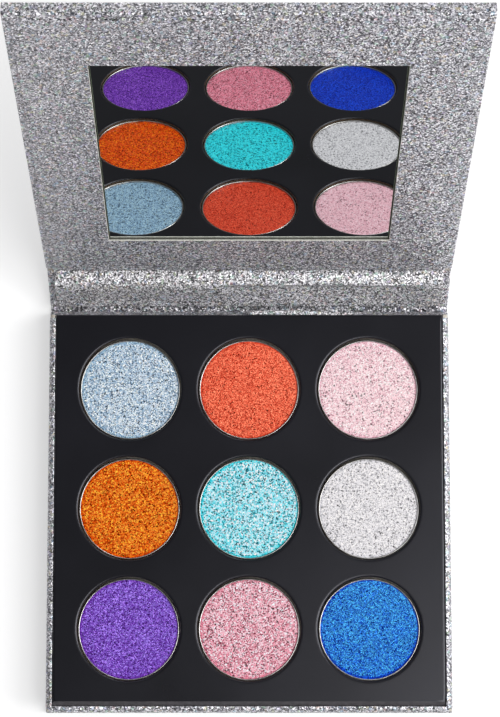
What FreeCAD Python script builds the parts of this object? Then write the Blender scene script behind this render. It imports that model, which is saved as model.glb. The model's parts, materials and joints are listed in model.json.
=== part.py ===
import FreeCAD, Part
import math
import os

from FreeCAD import Placement, Rotation, Vector

# A book-style eyeshadow palette: a board tray of nine powder pans, joined by a paper cover to a spine
# and a lid with a mirror. Sizes are in millimetres. X runs across the palette, +Y towards the spine and
# +Z up. The origin is the centre of the base's underside. The cover stands open, as it is used.

# Pans, and the powder pressed into them
pan_diameter = 26.0
pan_height = 4.4
pan_wall = 0.35
cake_setback = 0.2
pad_margin = 6.0
pad_thickness = 0.2

# The pattern of pans, and the folded card plate over it
row_names = ("front", "middle", "back")
column_names = ("left", "centre", "right")
opening_gap = 0.5
bridge_width = 4.0
plate_margin = 6.0
plate_card = 0.8
plate_edge_radius = 0.5
pan_setback = 0.65

# Paper and boards
paper = 0.25
base_board_thickness = 2.0
tray_board_thickness = 1.2
filler_thickness = 3.05
spine_board_thickness = 1.6
lid_board_thickness = 1.6
window_board_thickness = 1.25
cover_overhang = 0.7
turn_in_width = 12.0
wrap_edge_radius = 0.45
rim_edge_radius = 1.2
rim_drop = 0.25
rim_turn_in = 3.2
back_wall_drop = 3.5
back_wall_fall = 3.75
liner_inset = 1.8

# Mirror
mirror_side_margin = 17.5
mirror_front_margin = 18.0
mirror_fold_margin = 14.25
mirror_thickness = 0.95
mirror_bevel = 0.25
mirror_adhesive = 0.15

# Magnets
magnet_length = 10.0
magnet_width = 5.0
magnet_thickness = 1.5
magnet_edge = 1.0

# Clearances
plate_clearance = 0.1
board_clearance = 0.1
mirror_clearance = 0.2
magnet_clearance = 0.1
sheet_clearance = 0.5
closed_lid_gap = 0.3
closed_spine_gap = 0.5
closed_edge_gap = 0.3

# Folds: the outer radius of a crease, the bare paper beside it on the spine, and the open pose in degrees
fold_radius = 0.6
spine_fold_gap = 1.2
spine_rest_angle = 50.0
lid_rest_angle = 18.0

# Plan of the base
opening_diameter = pan_diameter + 2 * opening_gap
pan_pitch = opening_diameter + bridge_width
pattern_width = (len(column_names) - 1) * pan_pitch
pattern_depth = (len(row_names) - 1) * pan_pitch
plate_width = pattern_width + opening_diameter + 2 * plate_margin
plate_depth = pattern_depth + opening_diameter + 2 * plate_margin
rim_width = tray_board_thickness + 2 * paper
tray_width = plate_width + 2 * (plate_clearance + rim_width)
tray_depth = plate_depth + 2 * (plate_clearance + rim_width)
cover_width = tray_width + 2 * cover_overhang
cover_front = -tray_depth / 2 - cover_overhang
board_width = cover_width - 2 * paper
liner_width = cover_width - 2 * liner_inset

# Heights in the base
tray_bottom = paper + base_board_thickness + paper
tray_floor = tray_bottom + tray_board_thickness
filler_top = tray_floor + filler_thickness
pan_bottom = filler_top + pad_thickness
plate_top = pan_bottom + pan_height + pan_setback
plate_underside = plate_top - plate_card
rim_top = plate_top - rim_drop
back_wall_top = rim_top - back_wall_drop

# Layers of the cover, measured inwards from a fold's axis
outer_face = -fold_radius
board_face = outer_face + paper
crease_inner_face = board_face + paper
base_board_inner = board_face + base_board_thickness
spine_board_inner = board_face + spine_board_thickness
spine_inner_face = spine_board_inner + 2 * paper
lid_board_inner = board_face + lid_board_thickness
window_board_inner = lid_board_inner + window_board_thickness
lid_inner_face = window_board_inner + 2 * paper

# Lengths along the cover from a fold's axis: the closed spine stands clear behind the tray, and the
# closed lid lies just over the plate, in front of the spine and level with the base's front edge
lower_fold_y = tray_depth / 2 + closed_spine_gap + spine_inner_face
cover_reach = lower_fold_y - cover_front
boards_reach = cover_reach - paper
base_start = lower_fold_y - tray_depth / 2
lid_start = spine_inner_face + closed_edge_gap + paper
spine_reach = plate_top + closed_lid_gap + lid_inner_face - fold_radius
spine_end = spine_reach - spine_fold_gap
mirror_start = lid_start + mirror_fold_margin
mirror_end = cover_reach - mirror_front_margin
mirror_width = cover_width - 2 * mirror_side_margin

# Frames of the cover: Y runs along each board from its fold and Z from the outer face to the inner one
base_frame = Placement(Vector(0, lower_fold_y, fold_radius), Rotation(Vector(0, 0, 1), 180))
spine_frame = Placement(Vector(0, lower_fold_y, fold_radius), Rotation(Vector(1, 0, 0), spine_rest_angle))
upper_fold = spine_frame.multVec(Vector(0, spine_reach, 0))
lid_frame = Placement(upper_fold, Rotation(Vector(1, 0, 0), spine_rest_angle + lid_rest_angle))
lower_crease_frame = Placement(spine_frame.Base, Rotation())
upper_crease_frame = Placement(upper_fold, spine_frame.Rotation)

# Magnets: a pair under the plate's front margin, and a pair opposite it in the closed lid
magnet_places = (-pan_pitch / 2, pan_pitch / 2)
magnet_y = -plate_depth / 2 + plate_card + magnet_edge + magnet_width / 2
magnet_from_upper_fold = lower_fold_y - magnet_y
lid_magnet_thickness = window_board_thickness - magnet_clearance


def block(width, y0, y1, z0, z1, x=0):
    """A box centred on x, from y0 to y1 and z0 to z1."""
    return Part.makeBox(width, y1 - y0, z1 - z0, Vector(x - width / 2, y0, z0))


def centred_block(width, depth, z0, z1):
    """A box centred on X and Y, from z0 to z1."""
    return block(width, -depth / 2, depth / 2, z0, z1)


def disc(diameter, place, z0, z1):
    """An upright disc from z0 to z1, at an (x, y) place."""
    return Part.makeCylinder(diameter / 2, z1 - z0, Vector(place[0], place[1], z0))


def edges_at(shape, axis, value):
    """The edges that lie in the plane where one coordinate has the given value."""
    tolerance = 1e-6
    return [edge for edge in shape.Edges
            if all(abs(getattr(corner.Point, axis) - value) < tolerance for corner in edge.Vertexes)]


def without(edges, others):
    """The edges that aren't among the others."""
    return [edge for edge in edges if not any(edge.isSame(other) for other in others)]


def placed(shape, frame):
    """The shape carried from a local frame to its place in the palette."""
    return shape.transformed(frame.toMatrix())


def row_places(row):
    """The (x, y) places of the pans' centres in a row, counted from the front."""
    y = row * pan_pitch - pattern_depth / 2
    return [(column * pan_pitch - pattern_width / 2, y) for column in range(len(column_names))]


def pan_places():
    """The (x, y) places of all the pans' centres."""
    return [place for row in range(len(row_names)) for place in row_places(row)]


def pan_shape(place):
    """A drawn metal cup."""
    cup = disc(pan_diameter, place, pan_bottom, pan_bottom + pan_height)
    return cup.cut(disc(pan_diameter - 2 * pan_wall, place, pan_bottom + pan_wall, pan_bottom + pan_height))


def cake_shape(place):
    """Powder pressed into a cup, to just under its rim."""
    return disc(pan_diameter - 2 * pan_wall, place, pan_bottom + pan_wall,
                pan_bottom + pan_height - cake_setback)


def pan_pads():
    """Square adhesive pads, one under each pan."""
    side = pan_diameter - 2 * pad_margin
    return Part.makeCompound([block(side, y - side / 2, y + side / 2, filler_top, pan_bottom, x)
                              for x, y in pan_places()])


def plate_shape():
    """Card with a round opening over each pan, folded down on four sides to stand on the filler."""
    plate = centred_block(plate_width, plate_depth, filler_top, plate_top)
    plate = plate.makeFillet(plate_edge_radius, edges_at(plate, "z", plate_top))
    plate = plate.cut(centred_block(plate_width - 2 * plate_card, plate_depth - 2 * plate_card,
                                    filler_top, plate_underside))
    return plate.cut([disc(opening_diameter, place, plate_underside, plate_top)
                      for place in pan_places()])


def above_back_wall(skin):
    """The space over the tray's back wall, whose top slopes down to the spine, with a skin off the slope."""
    wall_start = tray_depth / 2 - rim_width
    wall_end = tray_depth / 2
    slope_top = back_wall_top - skin * math.hypot(rim_width, back_wall_fall) / rim_width
    corners = [(wall_end, slope_top - back_wall_fall), (wall_start, slope_top),
               (wall_start, rim_top), (wall_end, rim_top)]
    outline = Part.makePolygon([Vector(-tray_width / 2, y, z) for y, z in corners + corners[:1]])
    return Part.Face(outline).extrude(Vector(tray_width, 0, 0))


def tray_block(skin):
    """The tray as one block with its rim rounded and its back wall low, less a skin outside."""
    width = tray_width - 2 * skin
    half_depth = tray_depth / 2 - skin
    tray = block(width, -half_depth, half_depth, tray_bottom, rim_top - skin)
    tray = tray.makeFillet(rim_edge_radius - skin, edges_at(tray, "z", rim_top - skin))
    return tray.cut(above_back_wall(skin))


def tray_board_shape():
    """Board folded up on four sides."""
    return tray_block(paper).cut(tray_hollow(tray_floor, rim_top))


def tray_hollow(z0, z1):
    """The space between the tray's board walls."""
    wall = paper + tray_board_thickness
    return centred_block(tray_width - 2 * wall, tray_depth - 2 * wall, z0, z1)


def tray_wrap_shape(tray_board):
    """Paper round the tray's walls, folded over the rim and turned in."""
    inside = centred_block(tray_width - 2 * rim_width, tray_depth - 2 * rim_width, tray_bottom, rim_top)
    return tray_block(0).cut([inside, tray_hollow(tray_bottom, rim_top - rim_turn_in), tray_board])


def filler_shape():
    """Board that fills the tray's floor between its walls."""
    wall = paper + tray_board_thickness + board_clearance
    return centred_block(tray_width - 2 * wall, tray_depth - 2 * wall, tray_floor, filler_top)


def magnets(y, z0, z1, clearance=0):
    """A pair of bar magnets, or with a clearance the pockets for them."""
    length = magnet_length + 2 * clearance
    half_width = magnet_width / 2 + clearance
    return [block(length, y - half_width, y + half_width, z0, z1, x) for x in magnet_places]


def wrap_shape(start, end, board_inner, over_end):
    """Cover paper on boards: the outer face, the sides, the far end if asked, and the turn-ins."""
    inner_face = board_inner + paper
    wrap = block(cover_width, start, end, outer_face, inner_face)
    folded = edges_at(wrap, "z", outer_face) + edges_at(wrap, "z", inner_face)
    folded = without(folded, edges_at(wrap, "y", start))
    boards_end = end - paper
    window_end = end - turn_in_width
    if not over_end:
        folded = without(folded, edges_at(wrap, "y", end))
        boards_end = end
        window_end = end
    wrap = wrap.makeFillet(wrap_edge_radius, folded)
    boards = block(board_width, start, boards_end, board_face, board_inner)
    window = block(cover_width - 2 * turn_in_width, start, window_end, board_inner, inner_face)
    return wrap.cut([boards, window])


def hinge_strip_shape(before, after, turn):
    """Cover and liner paper glued together across a fold, bent round the X axis by a turn in degrees.

    The flat before the crease lies along -Y, and the flat after it is turned up from +Y.
    """
    full_turn = math.radians(turn)

    def point(along, radius, angle):
        return Vector(-cover_width / 2,
                      along * math.cos(angle) + radius * math.sin(angle),
                      along * math.sin(angle) - radius * math.cos(angle))

    def side(radius):
        bend = [point(0, radius, share * full_turn) for share in (0, 0.5, 1)]
        return [Part.LineSegment(point(-before, radius, 0), bend[0]),
                Part.Arc(*bend),
                Part.LineSegment(bend[2], point(after, radius, full_turn))]

    inner_radius = -crease_inner_face
    ends = [Part.LineSegment(point(-before, fold_radius, 0), point(-before, inner_radius, 0)),
            Part.LineSegment(point(after, fold_radius, full_turn), point(after, inner_radius, full_turn))]
    outline = [curve.toShape() for curve in side(fold_radius) + side(inner_radius) + ends]
    profile = Part.Wire(Part.__sortEdges__(outline))
    return Part.Face(profile).extrude(Vector(cover_width, 0, 0))


def base_pieces():
    """The base's board and wrap, the liner's tail over its back edge, and the tray's adhesive sheet."""
    wrap = wrap_shape(base_start, cover_reach, base_board_inner, over_end=True)
    board = block(board_width, base_start, boards_reach, board_face, base_board_inner)
    top = base_board_inner + paper
    width = cover_width - 2 * (turn_in_width + sheet_clearance)
    tail_end = base_start + turn_in_width
    tail = block(width, base_start - paper, tail_end, crease_inner_face, top)
    tail = tail.cut(block(width, base_start, tail_end, crease_inner_face, base_board_inner))
    adhesive = block(width, tail_end + sheet_clearance, cover_reach - turn_in_width - sheet_clearance,
                     base_board_inner, top)
    return {"base_board": board, "base_wrap": wrap, "base_liner": tail, "tray_adhesive": adhesive}


def spine_pieces():
    """The spine's board and wrap, and the liner folded down over both of its long edges."""
    wrap = wrap_shape(spine_fold_gap, spine_end, spine_board_inner, over_end=False)
    board = block(board_width, spine_fold_gap, spine_end, board_face, spine_board_inner)
    liner = block(liner_width, spine_fold_gap - paper, spine_end + paper,
                  crease_inner_face, spine_inner_face)
    under = block(liner_width, spine_fold_gap, spine_end, crease_inner_face, spine_board_inner)
    return {"spine_board": board, "spine_wrap": wrap, "spine_liner": liner.cut([under, wrap])}


def lid_pieces():
    """The lid's boards, the mirror and magnets set in the inner one, the wrap and the liner."""
    window = block(mirror_width + 2 * mirror_clearance, mirror_start - mirror_clearance,
                   mirror_end + mirror_clearance, lid_board_inner, lid_inner_face)
    board = block(board_width, lid_start, boards_reach, board_face, lid_board_inner)
    window_board = block(board_width, lid_start, boards_reach, lid_board_inner, window_board_inner)
    window_board = window_board.cut([window] + magnets(magnet_from_upper_fold, lid_board_inner,
                                                       window_board_inner, magnet_clearance))
    mirror_back = lid_board_inner + mirror_adhesive
    mirror_face = mirror_back + mirror_thickness
    sheet = block(mirror_width, mirror_start, mirror_end, lid_board_inner, mirror_back)
    mirror = block(mirror_width, mirror_start, mirror_end, mirror_back, mirror_face)
    mirror = mirror.makeChamfer(mirror_bevel, edges_at(mirror, "z", mirror_face))
    wrap = wrap_shape(lid_start, cover_reach, window_board_inner, over_end=True).cut(window)
    liner = block(liner_width, lid_start - paper, cover_reach - liner_inset,
                  crease_inner_face, lid_inner_face)
    under = block(liner_width, lid_start, boards_reach, crease_inner_face, window_board_inner)
    lid_magnets = Part.makeCompound(magnets(magnet_from_upper_fold, lid_board_inner,
                                            lid_board_inner + lid_magnet_thickness))
    return {"lid_board": board, "window_board": window_board, "lid_magnets": lid_magnets,
            "mirror_adhesive": sheet, "mirror": mirror, "lid_wrap": wrap,
            "lid_liner": liner.cut([under, wrap, window])}


tray_board = tray_board_shape()
nodes = {
    "tray_board": tray_board,
    "tray_wrap": tray_wrap_shape(tray_board),
    "filler_board": filler_shape(),
    "pan_pads": pan_pads(),
    "pan_plate": plate_shape(),
    "base_magnets": Part.makeCompound(magnets(magnet_y, plate_underside - magnet_thickness,
                                              plate_underside)),
    "lower_hinge_strip": placed(hinge_strip_shape(base_start, spine_fold_gap, spine_rest_angle),
                                lower_crease_frame),
    "upper_hinge_strip": placed(hinge_strip_shape(spine_fold_gap, lid_start, lid_rest_angle),
                                upper_crease_frame),
}
for pieces, frame in ((base_pieces(), base_frame), (spine_pieces(), spine_frame), (lid_pieces(), lid_frame)):
    for name, shape in pieces.items():
        nodes[name] = placed(shape, frame)
for row, row_name in enumerate(row_names):
    nodes["pans_" + row_name] = Part.makeCompound([pan_shape(place) for place in row_places(row)])
    for column_name, place in zip(column_names, row_places(row)):
        nodes["cake_" + row_name + "_" + column_name] = cake_shape(place)

os.makedirs("parts", exist_ok=True)
for name, shape in nodes.items():
    shape.exportStep("parts/" + name + ".step")
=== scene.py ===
import json
import math
import random

import bmesh
import bpy
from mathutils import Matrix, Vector, noise


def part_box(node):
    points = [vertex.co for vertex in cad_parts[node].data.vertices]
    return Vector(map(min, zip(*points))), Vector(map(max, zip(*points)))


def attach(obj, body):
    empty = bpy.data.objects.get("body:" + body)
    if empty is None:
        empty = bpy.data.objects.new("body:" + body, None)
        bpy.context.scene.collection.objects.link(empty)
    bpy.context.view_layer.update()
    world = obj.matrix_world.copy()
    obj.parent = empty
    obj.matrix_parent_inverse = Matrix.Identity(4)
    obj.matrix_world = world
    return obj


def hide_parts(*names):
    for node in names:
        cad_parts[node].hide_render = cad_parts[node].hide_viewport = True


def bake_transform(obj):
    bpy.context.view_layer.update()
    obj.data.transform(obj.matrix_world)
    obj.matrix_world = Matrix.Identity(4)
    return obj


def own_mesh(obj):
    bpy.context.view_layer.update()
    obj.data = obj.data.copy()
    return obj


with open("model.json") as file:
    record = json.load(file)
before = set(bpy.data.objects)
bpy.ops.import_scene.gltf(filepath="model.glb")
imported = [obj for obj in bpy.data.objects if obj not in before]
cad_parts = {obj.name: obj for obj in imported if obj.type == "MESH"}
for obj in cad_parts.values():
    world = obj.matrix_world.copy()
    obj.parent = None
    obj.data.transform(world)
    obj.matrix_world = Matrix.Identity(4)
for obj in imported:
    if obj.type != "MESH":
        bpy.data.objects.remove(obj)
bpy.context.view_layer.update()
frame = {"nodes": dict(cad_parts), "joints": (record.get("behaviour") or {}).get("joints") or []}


# Grey boards: the flats of the base, spine and lid, the lid's window board, and the folded tray with the
# filler on its floor. They are die cut from recycled pulp board, and the paper glued round them hides
# them all.
def new_finish(name):
    """A new material and its shader."""
    finish = bpy.data.materials.new(name)
    finish.use_nodes = True
    return finish, finish.node_tree.nodes["Principled BSDF"]


def set_inputs(node, inputs):
    """Sets each input of a node to a value, or links it to another node's output."""
    for key, value in inputs.items():
        if isinstance(value, bpy.types.NodeSocket):
            node.id_data.links.new(value, node.inputs[key])
        else:
            node.inputs[key].default_value = value


def add_node(finish, kind, inputs, **settings):
    """A new node of a material, with its settings and inputs."""
    node = finish.node_tree.nodes.new("ShaderNode" + kind)
    for key, value in settings.items():
        setattr(node, key, value)
    set_inputs(node, inputs)
    return node


def shades(finish, share, stops):
    """Colours that change along a share from 0 to 1, given as (place, colour) stops."""
    ramp = add_node(finish, "ValToRGB", {"Fac": share})
    first, last = ramp.color_ramp.elements[0], ramp.color_ramp.elements[-1]
    first.position, first.color = stops[0][0], (*stops[0][1], 1)
    last.position, last.color = stops[-1][0], (*stops[-1][1], 1)
    for place, colour in stops[1:-1]:
        ramp.color_ramp.elements.new(place).color = (*colour, 1)
    return ramp.outputs["Color"]


def place_on(finish):
    """The place on a piece, in metres, that a material's grain follows."""
    return add_node(finish, "TexCoord", {}).outputs["Object"]


def uneven(finish, scale, detail):
    """A fine unevenness over a piece, from 0 to 1."""
    grain = add_node(finish, "TexNoise", {"Vector": place_on(finish), "Scale": scale, "Detail": detail})
    return grain.outputs["Fac"]


def dress(finish, slot, *names):
    """Gives CAD nodes a material; its slot argument is not used."""
    for name in names:
        node = frame["nodes"][name]
        node.data.materials.clear()
        node.data.materials.append(finish)


greyboard, shader = new_finish("greyboard")
fibres = uneven(greyboard, 1800, 6)
set_inputs(shader, {
    "Base Color": shades(greyboard, fibres, [(0.3, (0.36, 0.33, 0.28)), (0.55, (0.55, 0.51, 0.45)),
                                             (0.75, (0.68, 0.65, 0.58))]),
    "Roughness": 0.9,
    "Normal": add_node(greyboard, "Bump", {"Height": fibres, "Strength": 0.4,
                                           "Distance": 0.0002}).outputs["Normal"],
})
dress(greyboard, "greyboard", "base_board", "spine_board", "lid_board", "window_board", "tray_board",
      "filler_board")


# Cover paper: silver glitter paper glued round the boards and turned in at their edges. Flat flakes of
# about a third of a millimetre lie in lacquer at all tilts, mostly silver, with a few that throw colours.
def flakes_on(finish, size):
    """Flakes of a size, in metres: a colour by chance for each flake, and its three parts from 0 to 1."""
    flakes = add_node(finish, "TexVoronoi", {"Vector": place_on(finish), "Scale": 1 / size}).outputs["Color"]
    return flakes, add_node(finish, "SeparateColor", {"Color": flakes}).outputs


def leaning(finish, flakes, level, tilt):
    """The way each flake faces: the surface's own way, leaned by the flake's chance about a level."""
    lean = add_node(finish, "VectorMath", {0: flakes, 1: level}, operation="SUBTRACT")
    lean = add_node(finish, "VectorMath", {0: lean.outputs["Vector"], "Scale": tilt}, operation="SCALE")
    surface = add_node(finish, "NewGeometry", {}).outputs["Normal"]
    lean = add_node(finish, "VectorMath", {0: lean.outputs["Vector"], 1: surface}, operation="ADD")
    lean = add_node(finish, "VectorMath", {0: lean.outputs["Vector"]}, operation="NORMALIZE")
    return lean.outputs["Vector"]


def glitter(name, flake_size, dullness, silver_stops):
    """Glitter paper: flakes of a size, in metres, under a lacquer of some dullness, in silvers given as
    stops from the darkest flake to the brightest."""
    finish, shader = new_finish(name)
    flakes, chance = flakes_on(finish, flake_size)
    silver = shades(finish, chance["Red"], silver_stops)
    patch = flakes_on(finish, rainbow_patch)[1]
    rainbow = shades(finish, patch["Green"],
                     [(0.0, (0.9, 0.5, 0.6)), (0.3, (0.9, 0.8, 0.45)), (0.55, (0.5, 0.85, 0.6)),
                      (0.8, (0.45, 0.7, 0.95)), (1.0, (0.75, 0.55, 0.9))])
    throw = shades(finish, patch["Blue"], [(0.0, (0.0,) * 3), (0.75, (0.04,) * 3), (1.0, (0.4,) * 3)])
    flake_colour = add_node(finish, "Mix", {"Factor": throw, 6: silver, 7: rainbow}, data_type="RGBA")
    set_inputs(shader, {
        "Base Color": flake_colour.outputs[2],
        "Metallic": 0.4,
        "Roughness": dullness,
        "Normal": leaning(finish, flakes, (0.5, 0.5, 0.5), flake_tilt),
    })
    return finish


flake_tilt = 0.6
rainbow_patch = 0.0007
flake = 0.0003
glitter_paper = glitter("glitter_paper", flake, 0.35,
                        [(0.0, (0.025, 0.0245, 0.028)), (0.3, (0.178, 0.175, 0.195)),
                         (0.65, (0.455, 0.448, 0.492)), (1.0, (0.98, 0.965, 1.0))])
dress(glitter_paper, "glitter_paper", "base_wrap", "spine_wrap", "lid_wrap", "lid_liner", "base_liner")


# Creases: the strips of paper between the boards, where the cover and its liner are glued to each other
# and bend. Each one sinks a little into the gap between its boards.
weld = 1e-7
sharp_bend = math.radians(35)


def make_piece(name, points, faces, *finishes):
    """A mesh piece from points in millimetres."""
    mesh = bpy.data.meshes.new(name)
    mesh.from_pydata([Vector(point) / 1000 for point in points], [], faces)
    for finish in finishes:
        mesh.materials.append(finish)
    shape = bmesh.new()
    shape.from_mesh(mesh)
    bmesh.ops.remove_doubles(shape, verts=shape.verts, dist=weld)
    bmesh.ops.recalc_face_normals(shape, faces=shape.faces)
    shape.to_mesh(mesh)
    shape.free()
    mesh.shade_smooth()
    mesh.set_sharp_from_angle(angle=sharp_bend)
    piece = bpy.data.objects.new(name, mesh)
    bpy.context.scene.collection.objects.link(piece)
    return piece


def loop_faces(rows, length, closed=True):
    """Quads between rows of points that follow each other, each row a loop or an open line."""
    steps = length if closed else length - 1
    return [(row * length + k, row * length + (k + 1) % length,
             (row + 1) * length + (k + 1) % length, (row + 1) * length + k)
            for row in range(rows - 1) for k in range(steps)]


def strip_faces(count):
    """Faces of a strip with two equal ends, each end an outline that goes out along a line and back."""
    faces = loop_faces(2, count)
    for end in (0, count):
        faces += [(end + k, end + k + 1, end + count - 2 - k, end + count - 1 - k)
                  for k in range(count // 2 - 1)]
    return faces


def along_board(fold, slope, along, inward):
    """The (y, z) place at a length along a board from its fold and a height above the fold's axis."""
    return (fold.y + along * math.cos(slope) - inward * math.sin(slope),
            fold.z + along * math.sin(slope) + inward * math.cos(slope))


folds = {joint["name"]: Vector(joint["pos_m"]) * 1000 for joint in frame["joints"]}
cover_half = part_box("lid_wrap")[1].x * 1000
base_slope = 0.0
spine_slope = math.radians(50)
lid_slope = math.radians(68)
paper = 0.25
crease_radius = 0.6
crease_sink = 0.09
bend_steps = 12
flat_steps = 4


def crease(name, node, fold, slopes, reaches):
    """Paper bent round a fold, from one board's slope to the next one's."""
    before, after = slopes
    stretch = []
    for share in [k / bend_steps for k in range(bend_steps + 1)]:
        slope = before + (after - before) * share
        sink = crease_sink * math.sin(math.pi * share)
        stretch.append((slope, 0.0, sink))
    start = [(before, -reaches[0] * (1 - k / flat_steps), 0.0) for k in range(flat_steps)]
    end = [(after, reaches[1] * (k + 1) / flat_steps, 0.0) for k in range(flat_steps)]
    line = start + stretch + end
    outer = [along_board(fold, slope, along, sink - crease_radius) for slope, along, sink in line]
    inner = [along_board(fold, slope, along, sink - crease_radius + 2 * paper) for slope, along, sink in line]
    outline = outer + inner[::-1]
    points = [(x, y, z) for x in (-cover_half, cover_half) for y, z in outline]
    piece = make_piece(name, points, strip_faces(len(outline)), glitter_paper)
    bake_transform(piece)
    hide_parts(node)


spine_gap = 1.2
lid_gap = 2.3
crease("lower_crease", "lower_hinge_strip", folds["spine_fold"], (base_slope, spine_slope),
       (folds["spine_fold"].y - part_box("base_board")[1].y * 1000, spine_gap))
crease("upper_crease", "upper_hinge_strip", folds["lid_fold"], (spine_slope, lid_slope),
       (spine_gap, lid_gap))


# Spine liner: the strip of glitter paper glued to the inside of the spine and tucked down over both of its
# long edges. Over it the paper has come loose in a soft roll below the lid.
# Painted light: the spine's paper is a lighter, more contrasty copy of the cover's glitter, standing for the
# light that the spine and the back wrinkle catch.
spine_glitter_painted_light = glitter("spine_glitter_painted_light", flake, 0.5,
                      [(0.0, (0.02, 0.0196, 0.0216)), (0.3, (0.2, 0.196, 0.208)),
                       (0.65, (0.62, 0.608, 0.638)), (1.0, (1.0, 0.98, 1.0))])
liner_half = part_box("spine_liner")[1].x * 1000
spine_board_top = 1.25
spine_length = (folds["lid_fold"] - folds["spine_fold"]).length
liner_low = spine_gap - paper
liner_high = spine_length - spine_gap + paper
liner_face = spine_board_top + 2 * paper
tuck_face = paper - crease_radius + paper
edge_round = 0.45
profile = [(liner_low, tuck_face)]
profile += [(liner_low + edge_round * (1 - math.cos(a)), liner_face - edge_round * (1 - math.sin(a)))
            for a in [math.pi / 2 * k / 4 for k in range(5)]]
profile += [(liner_low + liner_high - along, inward) for along, inward in profile[::-1]]
under = [(min(max(along, spine_gap), spine_length - spine_gap), min(inward, spine_board_top + paper))
         for along, inward in profile]
outline = profile + under[::-1]
points = [(x, *along_board(folds["spine_fold"], spine_slope, along, inward))
          for x in (-liner_half, liner_half) for along, inward in outline]
spine_liner = make_piece("spine_liner_paper", points, strip_faces(len(outline)), spine_glitter_painted_light)
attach(spine_liner, "spine")
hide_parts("spine_liner")


def eased(share):
    """A share from 0 to 1 that starts and ends softly."""
    share = min(1.0, max(0.0, share))
    return share * share * (3 - 2 * share)


def swell(x, share):
    """How far the roll stands off the liner, pushed in where the tray's paper stands up behind the plate."""
    ripple = roll_ripple * noise.noise(Vector((x / 14, share * 2.5, 3.1)))
    roll = roll_height * math.sin(math.pi * share ** roll_lean) * (1 + ripple)
    dent = eased((x - wrinkle_start + dent_left) / dent_left)
    dent *= eased((wrinkle_end + dent_right - x) / dent_right)
    dent *= min(1.0, (dent_top - share) / dent_fade)
    return roll * (1 - dent_depth * max(0.0, dent))


wrinkle_start, wrinkle_end = -3.0, 36.0
dent_depth = 0.66
dent_left, dent_right = 6, 16
dent_top, dent_fade = 0.75, 0.12
roll_height = 1.9
roll_lean = 1.8
roll_ripple = 0.05
roll_half = liner_half - 0.2
roll_foot = liner_face + 0.02
roll_start = liner_low + edge_round
roll_span = liner_high - liner_low - 2 * edge_round
roll_columns, roll_lines = 150, 48
points = []
for lift in (1, 0):
    for k in range(roll_columns + 1):
        x = roll_half * (2 * k / roll_columns - 1)
        for j in range(roll_lines + 1):
            along = roll_start + roll_span * j / roll_lines
            inward = roll_foot + lift * swell(x, j / roll_lines)
            points.append((x, *along_board(folds["spine_fold"], spine_slope, along, inward)))
length = roll_lines + 1
top = loop_faces(roll_columns + 1, length, closed=False)
offset = (roll_columns + 1) * length
faces = top + [tuple(corner + offset for corner in reversed(face)) for face in top]
for end in (0, roll_columns * length):
    faces += [(end + j, end + j + 1, end + j + 1 + offset, end + j + offset) for j in range(roll_lines)]
spine_roll = make_piece("spine_roll", points, faces, spine_glitter_painted_light)
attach(spine_roll, "spine")
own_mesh(spine_roll)


# Tray paper: the same glitter paper glued round the tray's walls, pulled over the rim and turned in beside
# the plate. The rim and front corners come out soft, and behind the plate it falls away to the spine.
tray_low, tray_high = (corner * 1000 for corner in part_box("tray_wrap"))
rim_wall = 1.7
rim_soft = 1.5
corner_soft = 1.55
turn_in = 3.2
bend_start = 6.5
inner_soft, inner_cut = 0.3, 0.09
wall_top, wall_fall = 8.25, 3.75
wall_ease = 0.15
lining_sunk = 0.6
side_shares = [0, 0.01, 0.02, 0.04] + [k / 20 for k in range(1, 20)] + [0.96, 0.98, 0.99]


def rounded_loop(inset, z):
    """Points round the tray at an inset from its outer face, with soft corners."""
    half = tray_high.x - inset
    soft = max(0.05, corner_soft - inset)
    flat = half - soft
    loop = []
    for turn in range(4):
        c, s = math.cos(turn * math.pi / 2), math.sin(turn * math.pi / 2)
        side = [(flat * (2 * share - 1), -half) for share in side_shares]
        side += [(flat + soft * math.sin(a), -flat - soft * math.cos(a))
                 for a in [math.pi / 2 * k / 8 for k in range(8)]]
        loop += [(x * c - y * s, x * s + y * c, z) for x, y in side]
    return loop


def behind_plate(point, sunk):
    """Lowers a point of the back wall to the slope that falls to the spine."""
    x, y, z = point
    wall = min(max(y - tray_high.y + rim_wall + wall_ease, 0.0) / wall_ease, 1.0)
    slope = wall_top - wall_fall * (y - tray_high.y + rim_wall) / rim_wall - sunk
    return x, y, min(z, z + (slope - z) * wall)


def bend_over(soft, inset):
    """The rim's bend, from the outer wall to its top, at an inset into the paper."""
    return [(inset + soft * (1 - math.cos(a)), tray_high.z - inset - soft * (1 - math.sin(a)))
            for a in [math.pi / 2 * k / 8 for k in range(9)]]


def ring_faces(rows, length):
    """Quads between loops that follow each other, and from the last loop back to the first."""
    last = (rows - 1) * length
    return loop_faces(rows, length) + [(k, (k + 1) % length, last + (k + 1) % length, last + k)
                                       for k in range(length)]


skin = [(0, tray_low.z), (0, bend_start)] + bend_over(rim_soft, 0)
skin += [(rim_wall - inner_soft, tray_high.z), (rim_wall - inner_cut, tray_high.z - inner_cut),
         (rim_wall, tray_high.z - inner_soft), (rim_wall, tray_high.z - turn_in)]
lining = [(rim_wall - paper, tray_high.z - turn_in), (rim_wall - paper, tray_high.z - paper)]
lining += bend_over(rim_soft - paper, paper)[::-1] + [(paper, bend_start), (paper, tray_low.z)]
points = []
for profile, sunk in ((skin, 0.0), (lining, lining_sunk)):
    for inset, z in profile:
        points += [behind_plate(point, sunk) for point in rounded_loop(inset, z)]
faces = ring_faces(len(skin) + len(lining), len(rounded_loop(0, 0)))
tray_paper = make_piece("tray_paper", points, faces, glitter_paper)
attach(tray_paper, "base")
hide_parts("tray_wrap")


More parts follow.
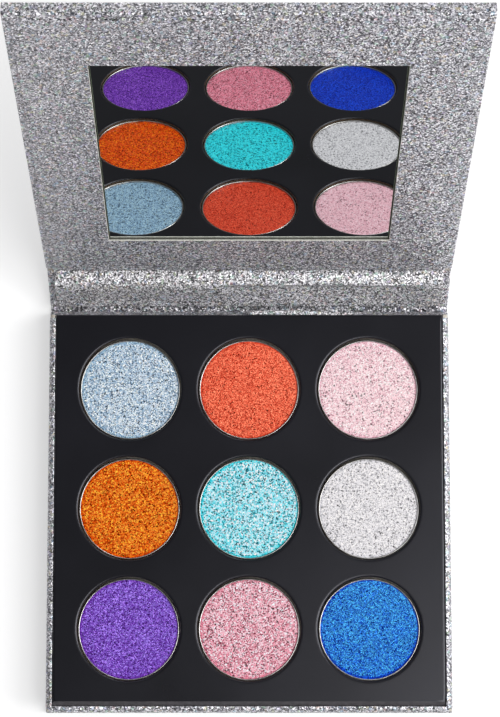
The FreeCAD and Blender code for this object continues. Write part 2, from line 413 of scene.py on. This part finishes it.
# Back wrinkle: the tray's paper falls away behind the plate, apart from one stretch right of the middle,
# where it has come off its board and stands up in a soft wrinkle.
wall_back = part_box("tray_wrap")[1].y * 1000
wrinkle_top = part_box("tray_wrap")[1].z * 1000 - 2.0
wrinkle_sunk = 4.6
wrinkle_foot = 3.0
wrinkle_left, wrinkle_right = 3.5, 24
wrinkle_ripple = 0.1
wrinkle_steps = 120
wrinkle_outline = [(-1.7, -4.0), (-1.74, -1.0), (-1.66, -0.35), (-1.45, -0.06), (-1.1, 0.0), (-0.65, -0.04),
                   (-0.46, -0.17), (-0.32, -0.45), (-0.24, -1.2), (-0.1, -7.2)]


def wrinkle_rise(x):
    """How far the tray's paper stands up behind the plate at a place across it, from 0 to 1."""
    return eased((x - wrinkle_start) / wrinkle_left) * eased((wrinkle_end - x) / wrinkle_right)


points = []
for k in range(wrinkle_steps + 1):
    x = wrinkle_start + (wrinkle_end - wrinkle_start) * k / wrinkle_steps
    sunk = wrinkle_sunk * (1 - wrinkle_rise(x)) + wrinkle_ripple * noise.noise(Vector((x / 3, 0.4, 0.7)))
    crest = wrinkle_top - max(0.0, sunk)
    points += [(x, wall_back + back, max(wrinkle_foot, crest + drop)) for back, drop in wrinkle_outline]
length = len(wrinkle_outline)
faces = loop_faces(wrinkle_steps + 1, length)
faces += [tuple(range(length)), tuple(range(wrinkle_steps * length, (wrinkle_steps + 1) * length))]
# The wrinkle takes the spine's lightened glitter, which is painted light.
wrinkle = make_piece("back_wrinkle", points, faces, spine_glitter_painted_light)
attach(wrinkle, "base")


# Fixings: the adhesive sheets under the tray, pans and mirror, and the bar magnets that hold the lid shut.
# All of them are closed in by the boards.
adhesive, shader = new_finish("adhesive")
streaks = uneven(adhesive, 400, 3)
set_inputs(shader, {
    "Base Color": shades(adhesive, streaks, [(0.3, (0.62, 0.58, 0.45)), (0.7, (0.78, 0.75, 0.64))]),
    "Roughness": 0.4,
    "Coat Weight": 0.2,
})
dress(adhesive, "adhesive", "tray_adhesive", "pan_pads", "mirror_adhesive")
magnet_metal, shader = new_finish("magnet_metal")
plating = uneven(magnet_metal, 900, 4)
set_inputs(shader, {
    "Base Color": shades(magnet_metal, plating, [(0.3, (0.42, 0.41, 0.4)), (0.7, (0.6, 0.59, 0.57))]),
    "Metallic": 1.0,
    "Roughness": 0.35,
})
dress(magnet_metal, "magnet_metal", "base_magnets", "lid_magnets")


# Pans: nine shallow cups drawn from bright tinned sheet, each with a rolled rim. They stand on the filler
# board on adhesive pads.
pan_metal, shader = new_finish("pan_metal")
draw_lines = add_node(pan_metal, "Mapping", {"Vector": place_on(pan_metal), "Scale": (600, 600, 9000)})
draw_lines = add_node(pan_metal, "TexNoise",
                      {"Vector": draw_lines.outputs["Vector"], "Scale": 1, "Detail": 3})
set_inputs(shader, {
    "Base Color": shades(pan_metal, draw_lines.outputs["Fac"],
                         [(0.3, (0.42, 0.41, 0.4)), (0.7, (0.62, 0.61, 0.6))]),
    "Metallic": 1.0,
    "Roughness": 0.28,
})
pan_set = 0.15
rows = ("front", "middle", "back")
columns = ("left", "centre", "right")


def middle_of(node):
    """The (x, y) middle of a CAD node, in millimetres."""
    low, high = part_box(node)
    return (low.x + high.x) * 500, (low.y + high.y) * 500


def turned(profile, place, segments):
    """Points and faces of a shape turned from a profile of (radius, height) about an upright axis."""
    ring = [2 * math.pi * k / segments for k in range(segments)]
    points = [(place[0] + radius * math.cos(a), place[1] + radius * math.sin(a), z)
              for radius, z in profile for a in ring]
    faces = loop_faces(len(profile), segments)
    last = (len(profile) - 1) * segments
    return points, faces + [tuple(range(segments))] + [tuple(range(last, last + segments))]


def quarter(radius, z, size, start):
    """A quarter turn of a rounded corner, as (radius, height) points from a start angle in degrees."""
    angles = [math.radians(start + 90 * k / 5) for k in range(6)]
    return [(radius + size * math.cos(a), z + size * math.sin(a)) for a in angles]


low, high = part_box("pans_front")
pan_bottom, pan_rim = low.z * 1000, high.z * 1000
pan_radius = (high.y - low.y) * 500
pan_wall = 0.35
rim_round = pan_wall / 2
foot_round = 0.6
pan_middle = 0.5
pan_sides = 112
pan_profile = [(pan_middle, pan_bottom)]
pan_profile += quarter(pan_radius - foot_round, pan_bottom + foot_round, foot_round, -90)
pan_profile += quarter(pan_radius - rim_round, pan_rim - rim_round, rim_round, 0)
pan_profile += quarter(pan_radius - rim_round, pan_rim - rim_round, rim_round, 90)
pan_profile += [(pan_radius - pan_wall, pan_bottom + pan_wall), (pan_middle, pan_bottom + pan_wall)]
for row in rows:
    for column in columns:
        x, y = middle_of("cake_" + row + "_" + column)
        pan = make_piece("pan_" + row + "_" + column,
                         *turned(pan_profile, (x, y - pan_set), pan_sides), pan_metal)
        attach(pan, "base")
        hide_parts("pans_" + row)


# Powders: glitter pressed into the pans, to just under their rims. Each cake is a mass of tiny coloured
# flakes, so its face is gritty, a little domed and pitted, and crumbles at its edge.
def powder(name, grain_size, pitted, dark_grain_and_gap_shade, body, bright, pearl, tint):
    """A pressed glitter: flakes of a body colour, some brighter, darker grains partly painted as shade in the
    gaps between them, a share of pits painted dark as shade, and a pearly shine of some tint."""
    finish, shader = new_finish(name)
    grains, chance = flakes_on(finish, grain_size)
    pit = flakes_on(finish, pit_size)[1]["Green"]
    # Painted shade: the pit cells darken the colour and the shine, as shade in the pits would.
    shade = shades(finish, pit, [(0.0, (pit_shade,) * 3), (pitted, (1.0,) * 3)])
    colour = shades(finish, chance["Red"], [(0.0, dark_grain_and_gap_shade), (0.4, body), (0.75, body), (1.0, bright)])
    colour = add_node(finish, "Mix", {"Factor": 1.0, 6: colour, 7: shade}, data_type="RGBA",
                      blend_type="MULTIPLY")
    sheen = add_node(finish, "Math", {0: chance["Red"], 1: 2 * pearl}, operation="MULTIPLY")
    sheen = add_node(finish, "Math", {0: sheen.outputs["Value"], 1: shade}, operation="MULTIPLY")
    set_inputs(shader, {
        "Base Color": colour.outputs[2],
        "Roughness": 0.3,
        "IOR": 1.9,
        "Specular IOR Level": sheen.outputs["Value"],
        "Specular Tint": (*tint, 1),
        "Normal": leaning(finish, grains, [0.5 - lie / grain_tilt for lie in grain_lie], grain_tilt),
    })
    return finish


pit_size = 0.00034
# How dark the painted pit shade is.
pit_shade = 0.1
grain_tilt = 0.3
grain_lie = (0.16, -0.15, 0.0)
powders = {
    "cake_back_left": ("ice_blue_powder", 0.00022, 0.21,
                       (0.027, 0.058, 0.11), (0.244, 0.414, 0.587), (0.451, 0.668, 0.722),
                       0.408, (1, 0.7, 0.45)),
    "cake_back_centre": ("coral_powder", 0.0002, 0.06,
                         (0.2087, 0.0101, 0.0046), (0.6087, 0.0475, 0.0196), (0.8621, 0.133, 0.06296),
                         0.2116, (1, 0.5861, 0.3467)),
    "cake_back_right": ("pale_pink_powder", 0.00022, 0.11,
                        (0.408, 0.186, 0.23), (0.794, 0.453, 0.529), (0.829, 0.648, 0.726),
                        0.192, (0.0313, 1, 0.621)),
    "cake_middle_left": ("copper_powder", 0.00027, 0.06,
                         (0.1101, 0.0073, 0.0003), (0.6508, 0.05051, 0.0003112), (0.9394, 0.225, 0.0003112),
                         0.1577, (0.0637, 1, 0.1562)),
    "cake_middle_centre": ("turquoise_powder", 0.00031, 0.17,
                           (0.0003, 0.0693, 0.104), (0.000332, 0.705, 0.82), (0.00235, 0.919, 0.924),
                           0.556, (1, 0.0758, 0.0153)),
    "cake_middle_right": ("silver_powder", 0.00022, 0.13,
                          (0.24, 0.239, 0.258), (0.613, 0.604, 0.639), (0.753, 0.747, 0.76),
                          0.0864, (1, 0.7611, 0.4378)),
    "cake_front_left": ("purple_powder", 0.00022, 0.02,
                        (0.0144, 0.002, 0.0505), (0.1257, 0.02329, 0.3569), (0.3751, 0.1278, 0.7792),
                        0.1853, (0.4448, 0.5506, 1)),
    "cake_front_centre": ("rose_powder", 0.00024, 0.21,
                          (0.141, 0.0212, 0.0368), (0.773, 0.202, 0.293), (0.824, 0.412, 0.519),
                          0.35, (0.0228, 1, 0.8888)),
    "cake_front_right": ("cobalt_powder", 0.00022, 0.01,
                         (0.0003, 0.0013, 0.0577), (0.0003019, 0.0155, 0.4498), (0.0003019, 0.07396, 0.9244),
                         0.3129, (0.1798, 1, 0.5603)),
}
cake_radius = pan_radius - pan_wall
cake_grid = 76
grit = 0.028
dome = 0.1
face_sink = 0.05
waves, ripples = 0.05, 0.02
dimple, dimple_chance = 0.12, 0.42
edge_fall = 0.16
edge_start, edge_width = 0.955, 0.045


def disc_place(u, v):
    """A place in a unit disc for a place in a square from -1 to 1, which keeps the grid's cells even."""
    if u == 0 and v == 0:
        return 0.0, 0.0
    if abs(u) > abs(v):
        radius, angle = u, math.pi / 4 * v / u
    else:
        radius, angle = v, math.pi / 2 - math.pi / 4 * u / v
    return radius * math.cos(angle), radius * math.sin(angle)


for number, (node, (slot, *shades_of)) in enumerate(powders.items()):
    grains = random.Random(number)
    x0, y0 = middle_of(node)
    y0 -= pan_set
    low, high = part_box(node)
    bottom, face = low.z * 1000, high.z * 1000
    count = cake_grid + 1
    points = []
    for i in range(count):
        for j in range(count):
            x, y = disc_place(2 * i / cake_grid - 1, 2 * j / cake_grid - 1)
            reach = math.hypot(x, y)
            spot = Vector((x * cake_radius + 40 * number, y * cake_radius, 0))
            height = dome * (1 - reach ** 2) - face_sink
            height += waves * noise.noise(spot / 4) + ripples * noise.noise(spot / 0.9)
            height += grit * grains.uniform(-1, 1)
            height -= dimple * max(0.0, noise.noise(spot / 1.6 + Vector((7, 3, 5))) - dimple_chance)
            height -= edge_fall * max(0.0, (reach - edge_start) / edge_width) ** 2
            points.append((x0 + x * cake_radius, y0 + y * cake_radius, face + height))
    faces = loop_faces(count, count, closed=False)
    rim = list(range(count)) + [i * count + count - 1 for i in range(1, count)]
    rim += [(count - 1) * count + j for j in range(count - 2, -1, -1)]
    rim += [i * count for i in range(count - 2, 0, -1)]
    foot = len(points)
    points += [(points[k][0], points[k][1], bottom) for k in rim]
    feet = list(range(foot, foot + len(rim)))
    faces += [(a, b, d, c) for a, b, c, d in zip(rim, rim[1:] + rim[:1], feet, feet[1:] + feet[:1])]
    faces.append(tuple(feet))
    cake = make_piece(node.replace("cake_", "powder_"), points, faces, powder(slot, *shades_of))
    cake.data.shade_smooth()
    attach(cake, "base")
    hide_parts(node)


# Plate: black coated card with nine die-cut openings, folded down at its sides to stand in the tray round
# the pans. The die rolls each opening's edge down and leaves the card's brown core bare.
black_card, shader = new_finish("black_card")
card_grain = uneven(black_card, 2200, 4)
rubbing = uneven(black_card, 35, 3)
set_inputs(shader, {
    "Base Color": shades(black_card, rubbing,
                         [(0.3, (0.0045, 0.0045, 0.0065)), (0.7, (0.0065, 0.0065, 0.0095))]),
    "Roughness": shades(black_card, rubbing, [(0.3, (0.27,) * 3), (0.7, (0.31,) * 3)]),
    "Specular Tint": (0.92, 0.92, 1.0, 1),
    "Normal": add_node(black_card, "Bump", {"Height": card_grain, "Strength": 0.25,
                                            "Distance": 0.00004}).outputs["Normal"],
})
card_core, shader = new_finish("card_core")
fibres = uneven(card_core, 2500, 5)
set_inputs(shader, {
    "Base Color": shades(card_core, fibres, [(0.3, (0.06, 0.035, 0.02)), (0.7, (0.15, 0.1, 0.06))]),
    "Roughness": 0.9,
})
# The front fold is given a lighter grey than the flat black card.
card_fold, shader = new_finish("card_fold")
fold_mottle = uneven(card_fold, 900, 4)
set_inputs(shader, {
    "Base Color": shades(card_fold, fold_mottle, [(0.3, (0.05, 0.047, 0.052)), (0.7, (0.09, 0.085, 0.092))]),
    "Roughness": 0.5,
})
plate_low, plate_high = (corner * 1000 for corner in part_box("pan_plate"))
card = 0.8
opening_radius = 13.35
roll_width = 0.6
roll_drop = 0.3
bevel = 0.5
front_bevel = 1.1
front_drop = 1.1
flat_margin = 0.3
opening_margin = 0.25
bend_parts = 6
near = 0.05
side_points = 24


def round_rectangle(xs, ys, z):
    """Points round a rectangle whose sides are divided at the given places, each part in even steps."""
    shares = [k / side_points for k in range(side_points)]
    points = [(a + (b - a) * s, ys[0], z) for a, b in zip(xs, xs[1:]) for s in shares]
    points += [(xs[-1], a + (b - a) * s, z) for a, b in zip(ys, ys[1:]) for s in shares]
    points += [(b + (a - b) * s, ys[-1], z) for a, b in list(zip(xs, xs[1:]))[::-1] for s in shares]
    points += [(xs[0], b + (a - b) * s, z) for a, b in list(zip(ys, ys[1:]))[::-1] for s in shares]
    return points


def circle(place, radius, z):
    """Points round an opening, in step with the points round the rectangle that holds it."""
    count = 4 * side_points
    angles = [2 * math.pi * (k / count - 3 / 8) for k in range(count)]
    return [(place[0] + radius * math.cos(a), place[1] + radius * math.sin(a), z) for a in angles]


def between(values, inset_low, inset_high):
    """The lines that divide the plate between its openings, with its own edges moved in."""
    return [values[0] + inset_low, values[1], values[2], values[3] - inset_high]


places = [middle_of("cake_" + row + "_" + column) for row in rows for column in columns]
pitch = places[1][0] - places[0][0]
x_lines = (plate_low.x, -pitch / 2, pitch / 2, plate_high.x)
y_lines = (plate_low.y, -pitch / 2, pitch / 2, plate_high.y)
points, faces = [], []


def add_loops(loops):
    """Adds loops of points and the quads between them."""
    start = len(points)
    for loop in loops:
        points.extend(loop)
    faces.extend(tuple(start + k for k in face) for face in loop_faces(len(loops), len(loops[0])))


flat_xs = between(x_lines, bevel + flat_margin, bevel + flat_margin)
flat_ys = between(y_lines, front_bevel + flat_margin, bevel + flat_margin)
top_xs, top_ys = between(x_lines, bevel, bevel), between(y_lines, front_bevel, bevel)
under_xs, under_ys = between(x_lines, card, card), between(y_lines, card, card)
for index, place in enumerate(places):
    i, j = index % 3, index // 3
    roll = [(opening_radius + roll_width * (1 - math.sin(a)), plate_high.z - roll_drop * (1 - math.cos(a)))
            for a in [math.pi / 2 * k / bend_parts for k in range(bend_parts + 1)]]
    loops = [round_rectangle(flat_xs[i:i + 2], flat_ys[j:j + 2], plate_high.z),
             circle(place, opening_radius + roll_width + opening_margin, plate_high.z)]
    loops += [circle(place, radius, z) for radius, z in roll]
    add_loops(loops)
    add_loops([circle(place, opening_radius, plate_high.z - roll_drop),
               circle(place, opening_radius, plate_high.z - card)])
    add_loops([circle(place, opening_radius, plate_high.z - card),
               round_rectangle(under_xs[i:i + 2], under_ys[j:j + 2], plate_high.z - card)])
skirt = [round_rectangle(flat_xs, flat_ys, plate_high.z), round_rectangle(top_xs, top_ys, plate_high.z)]
for k in range(1, bend_parts + 1):
    angle = math.pi / 2 * k / bend_parts
    inset, drop = bevel * (1 - math.sin(angle)), bevel * (1 - math.cos(angle))
    front_inset = front_bevel * (1 - k / bend_parts)
    loop = round_rectangle(between(x_lines, inset, inset), between(y_lines, front_inset, inset),
                           plate_high.z - drop)
    front_z = plate_high.z - front_drop * k / bend_parts
    front_y = plate_low.y + front_inset
    skirt.append([(x, y, front_z if abs(y - front_y) < 1e-9 else z) for x, y, z in loop])
skirt.append(round_rectangle(x_lines, y_lines, plate_low.z))
skirt.append(round_rectangle(under_xs, under_ys, plate_low.z))
skirt.append(round_rectangle(under_xs, under_ys, plate_high.z - card))
add_loops(skirt)
plate = make_piece("pan_plate_card", points, faces, black_card, card_core, card_fold)
for face in plate.data.polygons:
    middle = face.center * 1000
    radius = min(math.dist(middle[:2], place) for place in places)
    if abs(radius - opening_radius) < near and middle.z < plate_high.z - roll_drop - near:
        face.material_index = 1
    if plate_low.y + near < middle.y < plate_low.y + front_bevel and abs(face.normal.y) > 0.5:
        face.material_index = 2
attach(plate, "base")
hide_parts("pan_plate")


# Mirror: a pane of silvered glass glued to the lid's board in the window of the inner one, with its front
# edges ground to a narrow bevel that shows the glass's green.
mirror_glass, shader = new_finish("mirror_glass")
wiping = uneven(mirror_glass, 60, 4)
set_inputs(shader, {
    "Base Color": (0.78, 0.8, 0.79, 1),
    "Metallic": 1.0,
    "Roughness": shades(mirror_glass, wiping, [(0.35, (0.0,) * 3), (0.75, (0.02,) * 3)]),
})
glass_edge, shader = new_finish("glass_edge")
grinding = uneven(glass_edge, 3000, 2)
set_inputs(shader, {
    "Base Color": shades(glass_edge, grinding, [(0.3, (0.16, 0.2, 0.14)), (0.7, (0.4, 0.46, 0.36))]),
    "Roughness": 0.25,
    "Specular IOR Level": 0.6,
})
mirror_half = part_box("mirror")[1].x * 1000
mirror_start, mirror_end = 16.55, 89.55
mirror_back, mirror_face = 1.4, 2.35
mirror_bevel = 0.25
mirror_profile = [(0, mirror_back), (0, mirror_face - mirror_bevel), (-mirror_bevel, mirror_face)]


def round_mirror(out, height):
    """Four corners round the mirror, at a distance out from its edges and a height above the lid's fold."""
    start, end = mirror_start - out, mirror_end + out
    return [(x * (mirror_half + out), *along_board(folds["lid_fold"], lid_slope, along, height))
            for x, along in ((-1, start), (1, start), (1, end), (-1, end))]


points = [corner for out, height in mirror_profile for corner in round_mirror(out, height)]
faces = [(0, 1, 2, 3), (8, 9, 10, 11)] + loop_faces(3, 4)
mirror = make_piece("mirror_pane", points, faces, mirror_glass, glass_edge)
mirror.data.shade_flat()
for face in mirror.data.polygons[2:]:
    face.material_index = 1
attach(mirror, "lid")
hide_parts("mirror")


# Window edge: the cut edge of the liner's paper round the mirror, where its pale core shows, and below it
# a dark band, painted shade for the deep gap between the mirror and the window.
paper_core, shader = new_finish("paper_core")
fluff = uneven(paper_core, 2500, 4)
set_inputs(shader, {
    "Base Color": shades(paper_core, fluff, [(0.3, (0.44, 0.44, 0.39)), (0.7, (0.66, 0.66, 0.6))]),
    "Roughness": 0.9,
})
# Painted shade: a dark material on the window's wall, standing for the shade in the deep gap round the
# mirror.
painted_gap_shade, shader = new_finish("painted_gap_shade")
gap_mottle = uneven(painted_gap_shade, 1500, 3)
set_inputs(shader, {
    "Base Color": shades(painted_gap_shade, gap_mottle, [(0.3, (0.06, 0.06, 0.05)), (0.7, (0.14, 0.14, 0.12))]),
    "Roughness": 0.6,
})
window_gap = 0.2
shade_foot, shade_top = 1.6, 2.66
core_foot, lid_face = 2.7, 3.0
edge_profile = [(0.005, shade_foot), (0.05, shade_foot), (0.05, shade_top), (0.1, core_foot),
                (0.1, lid_face - 0.06), (0.02, lid_face), (0.005, lid_face)]
shade_faces = 8
points = [corner for inset, height in edge_profile for corner in round_mirror(window_gap - inset, height)]
faces = ring_faces(len(edge_profile), 4)
window_edge = make_piece("window_edge", points, faces, paper_core, painted_gap_shade)
window_edge.data.shade_flat()
# The lowest faces take the painted gap shade.
for face in window_edge.data.polygons[:shade_faces]:
    face.material_index = 1
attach(window_edge, "lid")


# Studio: a white table that keeps the palette's shadow, a large soft lamp on the right, a smaller one high
# up at the front right, pale walls, and the camera above the palette, tipped a little towards the lid.
scene = bpy.context.scene
scene.view_settings.view_transform = "Standard"
table_half = 1500
table_height = -0.05
corners = ((-1, -1), (1, -1), (1, 1), (-1, 1))
points = [(x * table_half, y * table_half, table_height) for x, y in corners]
table = make_piece("table", points, [(0, 1, 2, 3)])
table_white, shader = new_finish("table_white")
table.data.materials.append(table_white)
set_inputs(shader, {"Base Color": (0.6, 0.6, 0.6, 1), "Roughness": 0.9, "Specular IOR Level": 0.0})
ray = add_node(table_white, "LightPath", {}).outputs
seen = add_node(table_white, "Math", {0: ray["Is Camera Ray"], 1: ray["Is Glossy Ray"]}, operation="MAXIMUM")
seen = add_node(table_white, "Math", {0: seen.outputs["Value"], 1: ray["Is Transmission Ray"]},
                operation="MAXIMUM")
spread = add_node(table_white, "VectorMath", {0: place_on(table_white)}, operation="LENGTH").outputs["Value"]
glow = add_node(table_white, "Emission", {
    "Color": (1, 1, 1, 1),
    "Strength": shades(table_white, spread, [(0.25, (0.45,) * 3), (0.8, (1.0,) * 3)])})
lit = add_node(table_white, "AddShader", {0: shader.outputs["BSDF"], 1: glow.outputs["Emission"]})
white = add_node(table_white, "MixShader", {"Fac": seen.outputs["Value"], 1: shader.outputs["BSDF"],
                                            2: lit.outputs["Shader"]})
set_inputs(table_white.node_tree.nodes["Material Output"], {"Surface": white.outputs["Shader"]})

world = bpy.data.worlds.new("studio")
scene.world = world
world.use_nodes = True
walls = world.node_tree.nodes["Background"]
ray = add_node(world, "LightPath", {}).outputs
seen = add_node(world, "Math", {0: ray["Is Glossy Ray"], 1: ray["Is Transmission Ray"]}, operation="MAXIMUM")
way = add_node(world, "SeparateXYZ", {0: add_node(world, "TexCoord", {}).outputs["Generated"]}).outputs
room = shades(world, way["Z"], [(0.0, (0.05, 0.05, 0.05)), (1.0, (0.66, 0.66, 0.67))])
ceiling = shades(world, way["Z"], [(0.0, (0.3,) * 3), (0.8, (0.08,) * 3)])
back_wall = shades(world, way["Y"], [(0.35, (0.0,) * 3), (0.8, (0.8,) * 3)])
ceiling = add_node(world, "Mix", {"Factor": 1.0, 6: ceiling, 7: back_wall}, data_type="RGBA",
                   blend_type="LIGHTEN")
level = add_node(world, "Mix", {"Factor": seen.outputs["Value"], 6: room, 7: ceiling.outputs[2]},
                 data_type="RGBA")
level = add_node(world, "Mix", {"Factor": ray["Is Camera Ray"], 6: level.outputs[2], 7: (1, 1, 1, 1)},
                 data_type="RGBA")
set_inputs(walls, {"Color": level.outputs[2], "Strength": 1.0})


def soft_lamp(name, place, aim, size, power):
    """A square soft lamp at a place, in metres, turned to a point."""
    lamp = bpy.data.lights.new(name, "AREA")
    lamp.size = size
    lamp.energy = power
    stand = bpy.data.objects.new(name, lamp)
    stand.location = place
    stand.rotation_euler = (Vector(aim) - Vector(place)).to_track_quat("-Z", "Y").to_euler()
    scene.collection.objects.link(stand)


soft_lamp("right_lamp", (1.2, -0.03, 1.0), (0, 0, 0.02), 0.95, 18.0)
soft_lamp("high_lamp", (0.34, -0.25, 0.9), (0, 0, 0.02), 0.4, 3.2)

camera = bpy.data.cameras.new("camera")
camera.sensor_width = 36.0
camera.lens = 97.1
camera.clip_start = 0.01
tripod = bpy.data.objects.new("camera", camera)
tripod.location = (0.00025, -0.016, 0.514)
tripod.rotation_euler = (math.radians(6.25), 0, 0)
scene.collection.objects.link(tripod)
scene.camera = tripod
